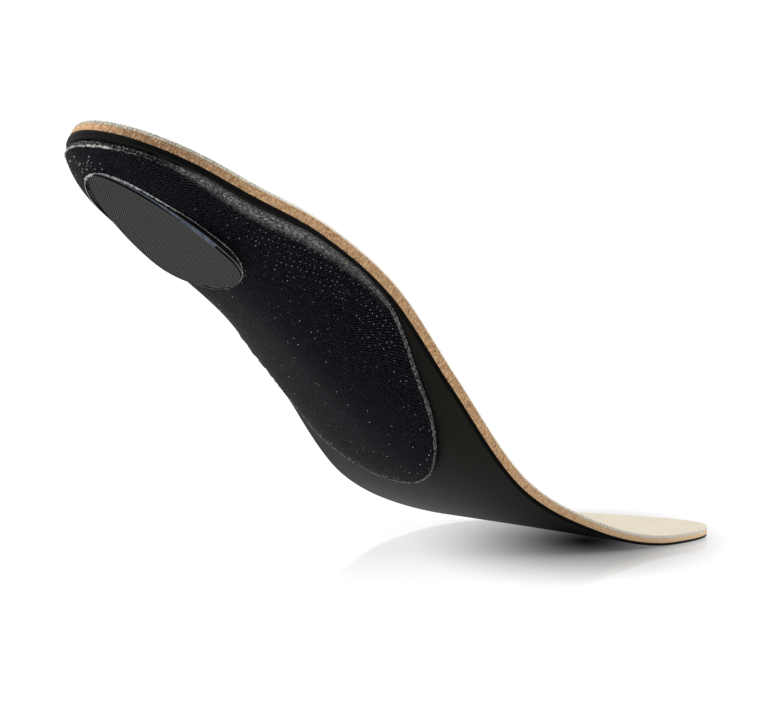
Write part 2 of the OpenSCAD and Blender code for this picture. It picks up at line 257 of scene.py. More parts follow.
def soleOutline(count):
    turn = np.linspace(0, math.pi / 2, 400)
    heelX = sole["heelRound"] * (1 - np.cos(turn))
    toeX = sole["length"] - sole["toeRound"] * (1 - np.sin(turn) ** (2 / sole["toePower"]))
    return twoSides(heelX, toeX, turn, midY, halfWide, count)


def shellOutline(count):
    turn = np.linspace(0, math.pi / 2, 300)
    heelX = sole["heelRound"] - (sole["heelRound"] - shell["start"]) * np.cos(turn)
    foreX = shell["front"] - shell["round"] * (1 - np.sin(turn))
    return twoSides(heelX, foreX, turn, shellMid, shellWide, count)


def waves(seed, count, lengths):
    # soft random waves round a closed outline, from -1 to 1
    rng = np.random.default_rng(seed)
    at = np.arange(count) / count * 2 * math.pi
    total = np.zeros(count)
    for turns in lengths:
        total += np.sin(at * turns + rng.uniform(0, 2 * math.pi)) * rng.uniform(0.6, 1)
    return total / len(lengths)


def ragged(seed, count, reach):
    # short random steps round an outline
    rng = np.random.default_rng(seed)
    raw = rng.uniform(-1, 1, count)
    kernel = np.hanning(reach + 2)[1:-1]
    wrapped = np.concatenate([raw[-reach:], raw, raw[:reach]])
    return np.convolve(wrapped, kernel / kernel.sum(), "same")[reach:-reach]


def only(piece):
    bpy.ops.object.select_all(action="DESELECT")
    piece.select_set(True)
    bpy.context.view_layer.objects.active = piece


def finishMesh(piece, smoothAngle, weld=0.000002):
    only(piece)
    bpy.ops.object.mode_set(mode="EDIT")
    bpy.ops.mesh.select_all(action="SELECT")
    bpy.ops.mesh.remove_doubles(threshold=weld)
    bpy.ops.mesh.normals_make_consistent(inside=False)
    bpy.ops.object.mode_set(mode="OBJECT")
    bpy.ops.object.shade_smooth_by_angle(angle=math.radians(smoothAngle))
    piece.select_set(False)


def keepPlace(data, places):
    # each point's place on the flat plan, which the materials follow
    place = data.attributes.new("flatPlace", "FLOAT_VECTOR", "POINT")
    place.data.foreach_set("vector", np.asarray(places, np.float32).ravel())


def closedUp(row):
    return np.concatenate([row, row[:1]])


def formed(name, rows, flats, cuts=None, smoothAngle=50):
    # a grid blank is rolled up into closed rows, and welded where its two sides meet
    n = len(rows[0])
    bpy.ops.object.select_all(action="DESELECT")
    bpy.ops.mesh.primitive_grid_add(x_subdivisions=n, y_subdivisions=len(rows) - 1, size=1)
    piece = bpy.context.active_object
    piece.name = name
    piece.data.name = name
    points = np.concatenate([closedUp(row) for row in rows])
    flat = np.concatenate([closedUp(row) for row in flats])
    piece.data.vertices.foreach_set("co", points.astype(np.float32).ravel())
    keepPlace(piece.data, flat)
    cut = piece.data.attributes.new("cutEdge", "FLOAT", "POINT")
    cut.data.foreach_set("value", np.repeat(cuts or [0.0] * len(rows), n + 1).astype(np.float32))
    finishMesh(piece, smoothAngle)
    return piece


def plate(name, rim, spine, topOf, lowOf, edge):
    # a closed layer: rings from the spine out to the rim on top, the cut edge, and rings back below;
    # with a hole, the spine is the hole's own outline and the rings close there with a wall
    x, y = rim
    nx, ny = outward(x, y)
    insets = edge["insets"]
    ratios = 1 - (1 - np.linspace(0, 1, edge["rings"])) ** 1.4
    lastX, lastY = x - nx * insets[0], y - ny * insets[0]
    plan = [(spine[0] + r * (lastX - spine[0]), spine[1] + r * (lastY - spine[1])) for r in ratios]
    plan += [(x - nx * d, y - ny * d) for d in insets[1:]]
    rows, flats, cuts = [], [], []
    fade = edge.get("fade", 0)

    def worn(inset):
        return max(0.0, 1 - inset / fade) if fade else 0.0

    def addRow(px, py, z, cut):
        rows.append(rolled(px, py, z))
        flats.append(np.stack([px, py, z - underZ(px, py)], 1))
        cuts.append(cut)

    for px, py in plan:
        addRow(px, py, topOf(px, py), 0.0)
    zTop, zLow = topOf(x, y), lowOf(x, y)
    walls = edge["wallRows"]
    for k in range(walls + 1):
        v = k / walls
        out = edge["bulge"] * (math.sin(math.pi * v) - 0.5) - edge.get("slant", 0) * v
        out = out + edge["rough"] * ragged(edge["seed"] + k, len(x), edge["reach"])
        addRow(x + nx * out, y + ny * out, zTop + (zLow - zTop) * v, 1.0)
    rough = edge.get("lowRough", 0)
    for i in range(len(plan) - 1, -1, -1):
        px, py = plan[i]
        away = len(plan) - 1 - i
        grain = rough * ragged(edge["seed"] + 50 + i, len(x), 2) if away < edge.get("lowRows", 0) else 0
        addRow(px, py, lowOf(px, py) + grain, worn(insets[-1 - away]) if away < len(insets) else 0.0)
    if edge.get("hole"):
        addRow(plan[0][0], plan[0][1], topOf(*plan[0]), 0.0)
    return formed(name, rows, flats, cuts)


def looseMesh(name, points, faces, marks, weld):
    data = bpy.data.meshes.new(name)
    data.from_pydata([tuple(p) for p in points], [], faces)
    keepPlace(data, marks)
    piece = bpy.data.objects.new(name, data)
    bpy.context.scene.collection.objects.link(piece)
    finishMesh(piece, 60, weld)
    return piece


def manyTubes(name, paths, radii, sides, flats=None):
    # several small tubes as one mesh; a path is a list of points in metres, and flats holds
    # each point's place on the flat plan, or without it the material runs along the tube
    points, faces, marks = [], [], []
    for number, (path, radius) in enumerate(zip(paths, radii)):
        path = np.asarray(path)
        radius = np.broadcast_to(radius, len(path))
        go = np.gradient(path, axis=0)
        go /= np.linalg.norm(go, axis=1, keepdims=True) + 1e-12
        aside = np.where(np.abs(go[:, 2:]) < 0.9, [[0, 0, 1.0]], [[1.0, 0, 0]])
        u = np.cross(go, aside)
        u /= np.linalg.norm(u, axis=1, keepdims=True) + 1e-12
        w = np.cross(go, u)
        base = len(points)
        for i in range(len(path)):
            for k in range(sides):
                a = 2 * math.pi * k / sides
                points.append(path[i] + radius[i] * (u[i] * math.cos(a) + w[i] * math.sin(a)))
                marks.append((number * 3.7, i * 0.5, k) if flats is None else (*flats[number][i], 0))
        for i in range(len(path) - 1):
            for k in range(sides):
                m = (k + 1) % sides
                one = base + i * sides
                faces.append((one + k, one + m, one + sides + m, one + sides + k))
        faces.append(tuple(base + k for k in range(sides - 1, -1, -1)))
        faces.append(tuple(base + (len(path) - 1) * sides + k for k in range(sides)))
    return looseMesh(name, points, faces, marks, 0.0000005)


# materials
def grey(value):
    return (value, value, value)


def startMaterial(name, rough, shine, sockets=None):
    material = bpy.data.materials.new(name)
    material.use_nodes = True
    tree = material.node_tree
    shader = tree.nodes["Principled BSDF"]
    for socket, value in {"Roughness": rough, "Specular IOR Level": shine, **(sockets or {})}.items():
        shader.inputs[socket].default_value = value
    return material, tree, shader


def addNode(tree, kind, inputs=None, **settings):
    node = tree.nodes.new("ShaderNode" + kind)
    for key, value in settings.items():
        setattr(node, key, value)
    for key, value in (inputs or {}).items():
        if isinstance(value, bpy.types.NodeSocket):
            tree.links.new(value, node.inputs[key])
        else:
            node.inputs[key].default_value = value
    return node


def attribute(tree, name, output):
    return addNode(tree, "Attribute", attribute_name=name).outputs[output]


def placeOf(tree, scale=(1, 1, 1), turn=0.0):
    place = attribute(tree, "flatPlace", "Vector")
    inputs = {"Vector": place, "Scale": scale, "Rotation": (0, 0, math.radians(turn))}
    return addNode(tree, "Mapping", inputs).outputs["Vector"]


def flatPart(tree, axis):
    # in millimetres: X from the heel, Z from the underside of the sole or the pad
    place = attribute(tree, "flatPlace", "Vector")
    return addNode(tree, "SeparateXYZ", {"Vector": place}).outputs[axis]


def onCut(tree):
    return attribute(tree, "cutEdge", "Fac")


def coloured(tree, shader, colour):
    tree.links.new(colour, shader.inputs["Base Color"])


def roughened(tree, shader, factor, spread):
    low, high = spread
    tree.links.new(ramp(tree, factor, [(0.3, grey(low)), (0.7, grey(high))]), shader.inputs["Roughness"])


def noise(tree, vector, scale, detail=2.0, rough=0.5):
    inputs = {"Vector": vector, "Scale": scale, "Detail": detail, "Roughness": rough}
    return addNode(tree, "TexNoise", inputs).outputs[0]


def waveBands(tree, vector, scale, direction, distortion=0.0):
    inputs = {"Vector": vector, "Scale": scale, "Distortion": distortion, "Detail": 1.0}
    return addNode(tree, "TexWave", inputs, bands_direction=direction).outputs["Fac"]


def ramp(tree, factor, stops):
    node = addNode(tree, "ValToRGB", {"Fac": factor})
    marks = node.color_ramp.elements
    while len(marks) < len(stops):
        marks.new(0.5)
    for mark, (at, colour) in zip(marks, stops):
        mark.position = at
        mark.color = (*colour, 1)
    return node.outputs["Color"]


def stepUp(tree, factor, low, high):
    inputs = {"Value": factor, "From Min": low, "From Max": high}
    return addNode(tree, "MapRange", inputs).outputs["Result"]


def mixed(tree, factor, a, b):
    a, b = (one if isinstance(one, bpy.types.NodeSocket) else (*one, 1) for one in (a, b))
    return addNode(tree, "Mix", {0: factor, 6: a, 7: b}, data_type="RGBA").outputs[2]


def sums(tree, way, a, b):
    return addNode(tree, "Math", {0: a, 1: b}, operation=way).outputs[0]


def times(tree, a, b):
    return sums(tree, "MULTIPLY", a, b)


def band(tree, factor, rising, falling):
    return times(tree, stepUp(tree, factor, *rising), stepUp(tree, factor, *falling))


def bump(tree, shader, height, strength, distance):
    node = addNode(tree, "Bump", {"Height": height, "Strength": strength, "Distance": distance})
    tree.links.new(node.outputs["Normal"], shader.inputs["Normal"])


clothLook = {
    "face": (0.60, 0.545, 0.445),
    "faceDark": (0.53, 0.475, 0.385),
    "gap": (0.43, 0.385, 0.305),
    "cut": (0.40, 0.38, 0.31),
    "cutDark": (0.09, 0.08, 0.06),
    "cutLight": (0.70, 0.66, 0.55),
    "pale": (0.92, 0.88, 0.77),
    "paleDark": (0.60, 0.54, 0.42),
    "tick": (0.46, 0.40, 0.29),
    "threads": 0.55,
    "waver": 3.0,
    "blotch": 0.12,
    "grain": 2.2,
    "ticks": 0.31,
    "tickWaver": 1.6,
    "tickPart": (0.34, 0.06),
    "paleOver": (20, 62),  # from the heel to the toes the cut edge turns from grey to cream
    "ticksOver": (165, 200),
}


def clothMaterial(look):
    material, tree, shader = startMaterial("coverCloth", rough=0.85, shine=0.25)
    flat = placeOf(tree)
    warp = waveBands(tree, flat, look["threads"], "X", look["waver"])
    weft = waveBands(tree, flat, look["threads"], "Y", look["waver"])
    weave = times(tree, warp, weft)
    body = ramp(tree, noise(tree, flat, look["blotch"], 3), [(0.3, look["face"]), (0.7, look["faceDark"])])
    body = mixed(tree, stepUp(tree, weave, 0.25, 0.0), body, look["gap"])
    grain = noise(tree, placeOf(tree, (1, 1, 0.5)), look["grain"], 3, 0.7)
    cut = ramp(tree, grain, [(0.34, look["cutDark"]), (0.48, look["cut"]), (0.68, look["cutLight"])])
    pale = ramp(tree, grain, [(0.34, look["paleDark"]), (0.50, look["pale"])])
    along = flatPart(tree, "X")
    upright = placeOf(tree, (1, 1, 0))
    ticks = stepUp(tree, waveBands(tree, upright, look["ticks"], "X", look["tickWaver"]), *look["tickPart"])
    ticks = times(tree, ticks, stepUp(tree, along, *look["ticksOver"]))
    pale = mixed(tree, ticks, pale, look["tick"])
    cut = mixed(tree, stepUp(tree, along, *look["paleOver"]), cut, pale)
    coloured(tree, shader, mixed(tree, onCut(tree), body, cut))
    bump(tree, shader, sums(tree, "ADD", weave, times(tree, grain, 0.8)), 0.5, 0.0001)
    return material


tanLook = {
    "body": (0.53, 0.315, 0.160),
    "dark": (0.20, 0.100, 0.042),
    "light": (0.78, 0.545, 0.33),
    # painted shade: this colour darkens the side from the heel into the arch, which faces down and away
    # from the light
    "heelDark": (0.160, 0.088, 0.044),
    # painted light: this colour lightens the toe end, which the lamps leave dim
    "toePaintedLight": (0.98, 0.68, 0.40),
    "fibres": 2.5,
    "grain": 3.6,
    "darkPart": (0.50, 0.41),
    "lightPart": (0.51, 0.62),
    # where the painted shade lies, in millimetres from the heel, and how strong it is
    "shadeIn": (0, 5),
    "shadeOut": (44, 14),
    "shade": 0.85,
    # where the painted light lies, in millimetres from the heel
    "paintedLightOver": (150, 255),
    "smoothOver": (150, 210),
    "smooth": 0.6,
}


def tanMaterial(look):
    material, tree, shader = startMaterial("tanCushion", rough=0.8, shine=0.2)
    fibres = noise(tree, placeOf(tree, (1, 1, 0.3)), look["fibres"], 4, 0.75)
    fine = noise(tree, placeOf(tree, (1, 1, 0.6), 20), look["grain"], 2, 0.7)
    grain = sums(tree, "ADD", times(tree, fibres, 0.6), times(tree, fine, 0.4))
    along = flatPart(tree, "X")
    # painted shade along the side from the heel into the arch
    shade = band(tree, along, look["shadeIn"], look["shadeOut"])
    body = mixed(tree, times(tree, shade, look["shade"]), look["body"], look["heelDark"])
    # painted light toward the toes
    body = mixed(tree, stepUp(tree, along, *look["paintedLightOver"]), body, look["toePaintedLight"])
    smooth = times(tree, stepUp(tree, along, *look["smoothOver"]), look["smooth"])
    coarse = sums(tree, "SUBTRACT", 1.0, smooth)
    darkest = times(tree, stepUp(tree, grain, *look["darkPart"]), coarse)
    lightest = times(tree, stepUp(tree, grain, *look["lightPart"]), coarse)
    coloured(tree, shader, mixed(tree, lightest, mixed(tree, darkest, body, look["dark"]), look["light"]))
    bump(tree, shader, grain, 0.9, 0.0002)
    return material


foamLook = {
    "body": (0.0044, 0.0041, 0.0030),
    "light": (0.0100, 0.0093, 0.0068),
    "side": (0.0008, 0.0008, 0.0007),
    "mottle": 0.45,
    "pores": 4.0,
    "rough": (0.5, 0.62),
}


def foamMaterial(look):
    material, tree, shader = startMaterial("baseFoam", rough=0.5, shine=0.07)
    mottle = noise(tree, placeOf(tree), look["mottle"], 6, 0.8)
    pores = noise(tree, placeOf(tree), look["pores"], 2)
    colour = ramp(tree, mottle, [(0.3, look["body"]), (0.75, look["light"])])
    coloured(tree, shader, mixed(tree, onCut(tree), colour, look["side"]))
    roughened(tree, shader, mottle, look["rough"])
    bump(tree, shader, pores, 0.25, 0.00005)
    return material


knitLook = {
    "yarn": (0.0010, 0.0008, 0.0018),
    "yarnLight": (0.034, 0.031, 0.042),
    "speck": (0.09, 0.09, 0.10),
    "worn": (0.140, 0.140, 0.135),
    "turn": 34,  # degrees between the wales and the length
    "stitch": 0.62,
    "fuzz": 2.2,
    "tuftPart": (0.76, 1.12),
    "glints": 1.5,
    "glintPart": (0.72, 0.80),
    "frayPart": (0.44, 0.56),
    "wornIn": (19, 30),
    "wornOut": (108, 88),
    "rough": (0.42, 0.72),
}


def knitMaterial(look):
    material, tree, shader = startMaterial("knitSkin", rough=0.5, shine=0.022)
    flat = placeOf(tree, (1, 1, 1), look["turn"])
    wales = waveBands(tree, flat, look["stitch"], "X", 1.6)
    courses = waveBands(tree, flat, look["stitch"] * 0.8, "Y", 1.6)
    loops = times(tree, wales, courses)
    fuzz = noise(tree, flat, look["fuzz"], 3, 0.75)
    tuft = times(tree, sums(tree, "ADD", loops, 1.2), fuzz)
    body = mixed(tree, stepUp(tree, tuft, *look["tuftPart"]), look["yarn"], look["yarnLight"])
    glints = stepUp(tree, noise(tree, placeOf(tree), look["glints"], 1), *look["glintPart"])
    body = mixed(tree, glints, body, look["speck"])
    # rubbed through along the rim, under the arch
    along = flatPart(tree, "X")
    arch = band(tree, along, look["wornIn"], look["wornOut"])
    rubbed = times(tree, onCut(tree), arch)
    fray = stepUp(tree, noise(tree, placeOf(tree), look["fuzz"], 4, 0.8), *look["frayPart"])
    coloured(tree, shader, mixed(tree, times(tree, rubbed, fray), body, look["worn"]))
    roughened(tree, shader, fuzz, look["rough"])
    bump(tree, shader, sums(tree, "ADD", loops, fuzz), 0.8, 0.0002)
    return material


coreLook = {
    "body": (0.105, 0.105, 0.100),
    "dark": (0.008, 0.008, 0.008),
    "light": (0.48, 0.48, 0.46),
    "wall": (0.060, 0.060, 0.057),
    "faded": (0.006, 0.006, 0.006),
    "grit": 2.4,
    "fibres": 2.6,
    "turn": 28,
    "wallPart": (0.6, 0.4),
    "fadedPart": (0.66, 0.5),
    "fadeIn": (0, 2),
    "fadeOut": (22, 17),
}


def coreMaterial(look):
    material, tree, shader = startMaterial("groundCore", rough=0.75, shine=0.15)
    grit = noise(tree, placeOf(tree), look["grit"], 4, 0.75)
    fibres = noise(tree, placeOf(tree, (0.35, 1, 1), look["turn"]), look["fibres"], 3, 0.7)
    stuff = sums(tree, "ADD", times(tree, grit, 0.5), times(tree, fibres, 0.5))
    colour = ramp(tree, stuff, [(0.41, look["dark"]), (0.5, look["body"]), (0.62, look["light"])])
    wall = times(tree, onCut(tree), stepUp(tree, fibres, *look["wallPart"]))
    colour = mixed(tree, wall, colour, look["wall"])
    # between the back of the heel and the arch the rim is black again
    along = flatPart(tree, "X")
    black = band(tree, along, look["fadeIn"], look["fadeOut"])
    black = times(tree, black, stepUp(tree, fibres, *look["fadedPart"]))
    coloured(tree, shader, mixed(tree, black, colour, look["faded"]))
    bump(tree, shader, stuff, 1.0, 0.0003)
    return material


postLook = {"body": (0.003, 0.003, 0.0033), "light": (0.02, 0.02, 0.021), "grain": 1.8}


def postMaterial(look):
    material, tree, shader = startMaterial("postFoam", rough=0.5, shine=0.08)
    grain = noise(tree, placeOf(tree), look["grain"], 4, 0.7)
    coloured(tree, shader, ramp(tree, grain, [(0.45, look["body"]), (0.8, look["light"])]))
    bump(tree, shader, grain, 0.9, 0.0002)
    return material


glueLook = {"body": (0.045, 0.062, 0.092), "light": (0.10, 0.13, 0.175), "streaks": 0.6}


def glueMaterial(look):
    coat = {"Coat Weight": 0.3, "Coat Roughness": 0.08}
    material, tree, shader = startMaterial("glueBead", rough=0.22, shine=0.4, sockets=coat)
    streaks = noise(tree, placeOf(tree), look["streaks"], 3)
    coloured(tree, shader, ramp(tree, streaks, [(0.35, look["body"]), (0.7, look["light"])]))
    bump(tree, shader, streaks, 0.3, 0.0002)
    return material


ribLook = {
    "body": (0.036, 0.036, 0.034),
    "dark": (0.021, 0.021, 0.020),
    "speck": (0.10, 0.10, 0.09),
    # painted shade in the grooves between the ribs
    "paintedGrooveShade": (0.003, 0.003, 0.003),
    "side": (0.004, 0.004, 0.004),
    "dust": 2.2,
    "worn": 0.15,
    # how deep into a groove the painted shade starts and where it is full
    "paintedGrooveShadeOver": (0.085 / 3, 0.085),
    "sideOver": (0.2, 0.25),
}


def ribMaterial(look):
    material, tree, shader = startMaterial("ribbedSheet", rough=0.6, shine=0.08)
    dust = noise(tree, placeOf(tree), look["dust"], 3, 0.7)
    worn = noise(tree, placeOf(tree), look["worn"], 2)
    colour = ramp(tree, dust, [(0.30, look["dark"]), (0.55, look["body"]), (0.82, look["speck"])])
    colour = mixed(tree, stepUp(tree, worn, 0.35, 0.75), colour, look["body"])
    height = flatPart(tree, "Z")
    # the grooves between the ribs are darkened with painted shade
    colour = mixed(tree, stepUp(tree, height, *look["paintedGrooveShadeOver"]), colour, look["paintedGrooveShade"])
    coloured(tree, shader, mixed(tree, stepUp(tree, height, *look["sideOver"]), colour, look["side"]))
    bump(tree, shader, dust, 0.3, 0.00006)
    return material


yarnLook = {"body": (0.55, 0.55, 0.53), "dark": (0.06, 0.06, 0.06), "patch": 0.9}


def yarnMaterial(look):
    material, tree, shader = startMaterial("cutYarn", rough=0.55, shine=0.5)
    patch = noise(tree, placeOf(tree), look["patch"], 2)
    coloured(tree, shader, ramp(tree, patch, [(0.36, look["dark"]), (0.62, look["body"])]))
    return material


frayLook = {
    "body": (0.135, 0.135, 0.128),
    "dark": (0.012, 0.012, 0.012),
    "heel": (0.46, 0.46, 0.44),
    "heelDark": (0.04, 0.04, 0.04),
    "patch": 1.6,
    "heelOver": (19, 5),
}


def frayMaterial(look):
    material, tree, shader = startMaterial("rimFray", rough=0.7, shine=0.2)
    patch = noise(tree, placeOf(tree), look["patch"], 3, 0.7)
    rest = ramp(tree, patch, [(0.40, look["dark"]), (0.56, look["body"])])
    heel = ramp(tree, patch, [(0.42, look["heelDark"]), (0.58, look["heel"])])
    coloured(tree, shader, mixed(tree, stepUp(tree, flatPart(tree, "X"), *look["heelOver"]), rest, heel))
    return material


resinLook = {"dark": grey(0.08), "light": grey(0.36), "patch": 0.7}


def resinMaterial(look):
    material, tree, shader = startMaterial("resinDots", rough=0.15, shine=0.8)
    tone = noise(tree, placeOf(tree), look["patch"], 1)
    coloured(tree, shader, ramp(tree, tone, [(0.35, look["dark"]), (0.65, look["light"])]))
    return material


knit = knitMaterial(knitLook)
print("materials ready")


def dress(piece, material):
    piece.data.materials.clear()
    piece.data.materials.append(material)


# the three soft layers, one piece each from heel to toe
layers = {
    "around": 620,
    "rings": 22,
    "insets": [1.3, 0.75, 0.4, 0.16],
    "bendStart": -36,
    "bendEnd": 36,
}
outline = soleOutline(layers["around"])
spine = spineOf(outline[0], sole["heelRound"], sole["length"] - sole["toeRound"], midY)


def flexPoint(s):
    x = np.array([flex["x"] + s * alongDir[0]])
    y = np.array([s * alongDir[1]])
    return tuple(rolled(x, y, underZ(x, y))[0])


def softLayer(name, topOf, lowOf, edge):
    edge = {"insets": layers["insets"], "rings": layers["rings"], **edge}
    piece = plate(name, outline, spine, topOf, lowOf, edge)
    flexPoint(layers["bendStart"])
    flexPoint(layers["bendEnd"])
    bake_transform(piece)
    return piece


coverEdge = {"wallRows": 5, "bulge": 0.16, "rough": 0.06, "reach": 2, "seed": 11}
topCover = softLayer("topCover", coverTop, cushionTop, coverEdge)
dress(topCover, clothMaterial(clothLook))
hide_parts("top_cover_rear", "top_cover_front")

cushionEdge = {"wallRows": 8, "bulge": 0.10, "rough": 0.05, "reach": 2, "seed": 31}
tanCushion = softLayer("tanCushion", cushionTop, foamTop, cushionEdge)
dress(tanCushion, tanMaterial(tanLook))
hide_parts("cushion_rear", "cushion_front")

foamEdge = {"wallRows": 6, "bulge": 0.14, "rough": 0.02, "reach": 4, "seed": 51, "slant": 0.15}
baseFoam = softLayer("baseFoam", foamTop, underZ, foamEdge)
dress(baseFoam, foamMaterial(foamLook))
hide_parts("base_foam_rear", "base_foam_front")
print("soft layers made")

# the flat pad under the heel and the seat that its post is let into
pad = {
    "rear": 9.5,
    "front": 64.5,
    "widest": 49,
    "width": 43,
    "middle": -2.9,
    "thick": 0.8,
    "glue": 0.3,
    "level": 5.4,
    "pointed": 1.7,
    "blunt": 2.5,
    "ribPitch": 0.68,
    "ribTurn": 30.8,
    "ribDeep": 0.14,
    "perRib": 6,
    "rows": 14,
}
seat = {
    "x": 38,
    "y": -1.2,
    "rear": 27.8,
    "front": 28.3,
    "half": 20.2,
    "blunt": 2.9,
    "up": 1.9,
    "deep": 0.35,
}
padTilt = math.atan(pad["level"] / flex["x"])


def oval(a, rear, front, half, rearPower, frontPower):
    c, s = np.cos(a), np.sin(a)
    reach = np.where(c < 0, rear, front)
    n = np.where(c < 0, rearPower, frontPower)
    k = 1 / (np.abs(c / reach) ** n + np.abs(s / half) ** n) ** (1 / n)
    return k * c, k * s


def padOutline(count, grow=0.0):
    a = np.linspace(0, 2 * math.pi, 1200, endpoint=False)
    rear, front = pad["widest"] - pad["rear"] + grow, pad["front"] - pad["widest"] + grow
    x, y = oval(a, rear, front, pad["width"] / 2 + grow, pad["pointed"], pad["blunt"])
    return evenly(x + pad["widest"], y + pad["middle"], count)


def seatOutline(count, grow=0.0):
    a = np.linspace(0, 2 * math.pi, 1200, endpoint=False)
    x, y = oval(a, seat["rear"] + grow, seat["front"] + grow, seat["half"] + grow, 2, seat["blunt"])
    return evenly(x + seat["x"], y + seat["y"], count)


def onPad(x, y, level):
    return rolled(
        x * math.cos(padTilt) + level * math.sin(padTilt),
        y,
        pad["level"] - x * math.sin(padTilt) + level * math.cos(padTilt),
    )


def padZ(x):
    return pad["level"] * (1 - x / flex["x"])


def inSeat(x, y):
    along, aside = x - seat["x"], y - seat["y"]
    reach = np.where(along < 0, seat["rear"], seat["front"])
    return np.hypot(along / reach, aside / seat["half"]) < 1


# the shell under the heel and arch
rim = shellOutline(1100)
shellSpine = spineOf(rim[0], sole["heelRound"], shell["front"] - shell["round"], shellMid)


def skinTop(x, y):
    return shellTop(x, y) + shell["gap"] * 0.9


def skinLow(x, y):
    return shellTop(x, y) - shell["skinT"]


def coreLow(x, y):
    return shellBottom(x, y) + shell["knitT"] * 0.8


def coreSeated(x, y):
    # the low face of the core, cut up to a flat where the post sits
    return np.where(inSeat(x, y), np.maximum(coreLow(x, y), padZ(x) + seat["up"]), coreLow(x, y))


skinEdge = {
    "insets": [1.2, 0.5, 0.2],
    "rings": 12,
    "wallRows": 3,
    "bulge": 0.1,
    "rough": 0.12,
    "reach": 2,
    "seed": 71,
}
innerSkin = plate("innerSkin", rim, shellSpine, skinTop, skinLow, skinEdge)
dress(innerSkin, knit)
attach(innerSkin, "rearfoot")
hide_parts("shell_inner_skin")

coreEdge = {
    "insets": [3.6, 3.0, 2.5, 2.0, 1.6, 1.2, 0.8, 0.45, 0.2],
    "rings": 16,
    "wallRows": 5,
    "bulge": 0.2,
    "rough": 0.22,
    "reach": 2,
    "seed": 91,
    "slant": 0.3,
    "lowRough": 0.16,
    "lowRows": 9,
}
shellCore = plate("shellCore", rim, shellSpine, skinLow, coreSeated, coreEdge)
dress(shellCore, coreMaterial(coreLook))
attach(shellCore, "rearfoot")
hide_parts("shell_core")

knitEdge = {
    "around": 900,
    "inset": [0.6, 0.25, 0.12, 0.3, 0.6, 0.6, 0.45, 0.12, 0.1, 0.1],
    "insetAt": [0, 0.03, 0.11, 0.17, 0.3, 0.45, 0.55, 0.64, 0.8, 1],
    "insetWaves": 0.3,
    "insetSteps": 0.22,
    "insetSeed": 5,
    "insets": [1.3, 0.9, 0.5, 0.25, 0.1],
    "rings": 38,
    "wallRows": 3,
    "bulge": 0.1,
    "rough": 0.1,
    "reach": 2,
    "seed": 131,
    "slant": 0.2,
    "fade": 0.8,
    "hole": True,
}
rimX, rimY = shellOutline(knitEdge["around"])
nx, ny = outward(rimX, rimY)
inset = curve(knitEdge["insetAt"], knitEdge["inset"], rimX / shell["front"])
inset = inset * (1 + knitEdge["insetWaves"] * waves(knitEdge["insetSeed"], len(rimX), [9, 17, 31, 53]))
inset = np.maximum(0.06, inset + knitEdge["insetSteps"] * ragged(knitEdge["insetSeed"] + 1, len(rimX), 3))
knitRim = (rimX - nx * inset, rimY - ny * inset)
bearing = np.arctan2(knitRim[1] - seat["y"], knitRim[0] - seat["x"])
holeX, holeY = oval(bearing, seat["rear"], seat["front"], seat["half"], 2, seat["blunt"])
knitHole = (seat["x"] + holeX, seat["y"] + holeY)
knitSkin = plate("knitSkin", knitRim, knitHole, coreLow, shellBottom, knitEdge)
dress(knitSkin, knit)
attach(knitSkin, "rearfoot")
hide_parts("shell_knit_skin")
print("shell made")


# the post, wider at its foot on the pad than at its head in the seat
def postTop(x, y):
    return np.maximum(padZ(x) + seat["up"], shellBottom(x, y) + shell["knitT"]) - seat["deep"]


post = {
    "around": 360,
    "rows": 9,
    "wobble": 0.09,
    "inset": 0.4,
    "footInset": 0.3,
    "clear": 0.02,
    "seed": 200,
}
footX, footY = padOutline(post["around"], -post["footInset"])
headX, headY = seatOutline(post["around"], -post["inset"])
start = np.argmin(np.hypot(headX - footX[0], headY - footY[0]))
headX, headY = np.roll(headX, -start), np.roll(headY, -start)
padToFoot = pad["thick"] + pad["glue"] + post["clear"]
footZ = padZ(footX) + padToFoot
headZ = postTop(headX, headY)
postRows, postFlats = [], []


def addPostRow(px, py, pz):
    postRows.append(rolled(px, py, pz))
    postFlats.append(np.stack([px, py, pz], 1))


for r in np.linspace(0, 1, 7)[:-1]:
    px, py = seat["x"] + r * (footX - seat["x"]), seat["y"] + r * (footY - seat["y"])
    addPostRow(px, py, padZ(px) + padToFoot)
for k in range(post["rows"] + 1):
    v = k / post["rows"]
    wob = post["wobble"] * math.sin(math.pi * v) * ragged(post["seed"] + k, post["around"], 5)
    wx, wy = footX + (headX - footX) * v, footY + (headY - footY) * v
    ox, oy = outward(wx, wy)
    addPostRow(wx + ox * wob, wy + oy * wob, footZ + (headZ - footZ) * v)
for r in np.linspace(1, 0, 8)[1:]:
    px, py = seat["x"] + r * (headX - seat["x"]), seat["y"] + r * (headY - seat["y"])
    addPostRow(px, py, np.maximum(padZ(px) + pad["thick"] + pad["glue"] + 0.1, postTop(px, py)))
heelPost = formed("heelPost", postRows, postFlats, smoothAngle=35)
dress(heelPost, postMaterial(postLook))
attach(heelPost, "rearfoot")
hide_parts("heel_post")

